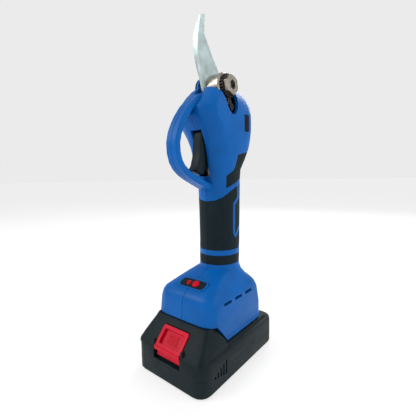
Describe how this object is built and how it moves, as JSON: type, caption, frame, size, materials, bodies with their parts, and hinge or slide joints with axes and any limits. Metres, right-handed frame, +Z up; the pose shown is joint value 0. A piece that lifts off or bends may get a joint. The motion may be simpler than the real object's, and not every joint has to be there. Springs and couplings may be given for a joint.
{
  "type": "battery electric pruner",
  "caption": "Handheld electric pruner: bypass blades over a vertical grip with a finger-guarded trigger, a rubber-covered handle and a slide-on battery pack as its foot.",
  "frame": {"origin": "centre of the battery pack's flat bottom, on the surface the tool stands on", "axes": "+Z up along the grip to the blades; -Y towards the trigger and the battery's release button; +X towards the pivot nut and the display"},
  "size_m": [0.0788, 0.117, 0.3118],
  "materials": {
    "blue_shell": "satin blue moulded plastic with a fine grain",
    "grip_rubber": "matte slate-black overmoulded rubber",
    "black_plastic": "matte black moulded plastic",
    "pack_plastic": "fine-textured slate-black plastic",
    "red_plastic": "semi-gloss red plastic",
    "red_lens": "small red lens with a pale centre",
    "display_window": "glossy black window",
    "blade_steel": "ground cutting steel, slightly green-grey",
    "pivot_steel": "bright machined steel with a warm tone",
    "dark_steel": "blackened steel, worn on its edges",
    "frame_alloy": "cast alloy",
    "gear_steel": "hardened gear steel",
    "motor_steel": "plated motor steel",
    "winding_copper": "enamelled copper",
    "circuit_board": "green circuit board",
    "capacitor_sleeve": "black sleeve",
    "cell_wrap": "green cell sleeve"
  },
  "bodies": {
    "housing": {"left_housing": "blue_shell", "right_housing": "blue_shell", "left_grip": "grip_rubber", "right_grip": "grip_rubber", "switch_panel": "black_plastic", "motor_end_cap": "black_plastic", "trigger_sensor": "black_plastic", "terminal_block": "black_plastic", "pivot_cover": "black_plastic", "status_lens": "red_lens", "display": "display_window", "fixed_blade": "blade_steel", "pivot_nut": "pivot_steel", "pivot_bolt": "dark_steel", "toothed_disc": "dark_steel", "lock_pawl": "dark_steel", "lock_screw": "dark_steel", "fixed_blade_screw_1": "dark_steel", "fixed_blade_screw_2": "dark_steel", "housing_screw_1": "dark_steel", "housing_screw_2": "dark_steel", "housing_screw_3": "dark_steel", "housing_screw_4": "dark_steel", "head_frame": "frame_alloy", "ring_gear": "gear_steel", "pinion_bearing": "gear_steel", "rear_bearing": "gear_steel", "trigger_pin": "gear_steel", "trigger_spring": "gear_steel", "motor_can": "motor_steel", "stator": "winding_copper", "controller_board": "circuit_board", "capacitor": "capacitor_sleeve"},
    "blade": {"moving_blade": "blade_steel", "blade_gear": "pivot_steel", "blade_dowel_1": "gear_steel", "blade_dowel_2": "gear_steel"},
    "carrier": {"planet_carrier": "gear_steel", "bevel_pinion": "gear_steel"},
    "planet_1": {"planet_gear_1": "gear_steel"},
    "planet_2": {"planet_gear_2": "gear_steel"},
    "planet_3": {"planet_gear_3": "gear_steel"},
    "rotor": {"rotor": "motor_steel", "sun_gear": "gear_steel"},
    "trigger": {"trigger": "black_plastic"},
    "power_button": {"power_button": "red_plastic"},
    "battery": {"battery_top_shell": "pack_plastic", "battery_bottom_shell": "pack_plastic", "battery_board": "circuit_board", "cell_1": "cell_wrap", "cell_2": "cell_wrap", "cell_3": "cell_wrap", "cell_4": "cell_wrap", "cell_5": "cell_wrap"},
    "battery_button": {"battery_button": "red_plastic"}
  },
  "joints": [
    {"name": "blade_swing", "type": "hinge", "parent": "housing", "child": "blade", "pos_m": [0, 0.0085, 0.2515], "axis": [-1, 0, 0], "range_deg": [0, 48]},
    {"name": "carrier_spin", "type": "hinge", "parent": "housing", "child": "carrier", "pos_m": [0, 0.01329, 0.20173], "axis": [0, 0.0958, -0.9954], "range_deg": [0, 193]},
    {"name": "planet_1_spin", "type": "hinge", "parent": "carrier", "child": "planet_1", "pos_m": [0.00675, 0.01358, 0.19874], "axis": [0, 0.0958, -0.9954], "range_deg": [-540, 0]},
    {"name": "planet_2_spin", "type": "hinge", "parent": "carrier", "child": "planet_2", "pos_m": [-0.00337, 0.0194, 0.1993], "axis": [0, 0.0958, -0.9954], "range_deg": [-540, 0]},
    {"name": "planet_3_spin", "type": "hinge", "parent": "carrier", "child": "planet_3", "pos_m": [-0.00338, 0.00776, 0.19818], "axis": [0, 0.0958, -0.9954], "range_deg": [-540, 0]},
    {"name": "rotor_spin", "type": "hinge", "parent": "housing", "child": "rotor", "pos_m": [0, 0.01502, 0.18381], "axis": [0, 0.0958, -0.9954], "range_deg": [0, 866]},
    {"name": "trigger_pull", "type": "hinge", "parent": "housing", "child": "trigger", "pos_m": [0, -0.005, 0.207], "axis": [1, 0, 0], "range_deg": [0, 9], "stiffness_Nm_per_rad": 0.4, "springref_deg": -5.73, "deforming": ["trigger_spring"]},
    {"name": "power_button_press", "type": "slide", "parent": "housing", "child": "power_button", "axis": [0, 0.4321, -0.9018], "range_m": [0, 0.0008], "stiffness_N_per_m": 1200, "springref_m": -0.0004},
    {"name": "battery_slide", "type": "slide", "parent": "housing", "child": "battery", "axis": [0, -1, 0], "range_m": [0, 0.115]},
    {"name": "battery_release_press", "type": "slide", "parent": "battery", "child": "battery_button", "axis": [0, -0.6794, -0.7337], "range_m": [0, 0.003], "stiffness_N_per_m": 1500, "springref_m": -0.0008}
  ],
  "couplings": [
    {"joint": "carrier_spin", "follows": "blade_swing", "ratio": 4},
    {"joint": "rotor_spin", "follows": "blade_swing", "ratio": 18},
    {"joint": "planet_1_spin", "follows": "blade_swing", "ratio": -11.2},
    {"joint": "planet_2_spin", "follows": "blade_swing", "ratio": -11.2},
    {"joint": "planet_3_spin", "follows": "blade_swing", "ratio": -11.2}
  ]
}
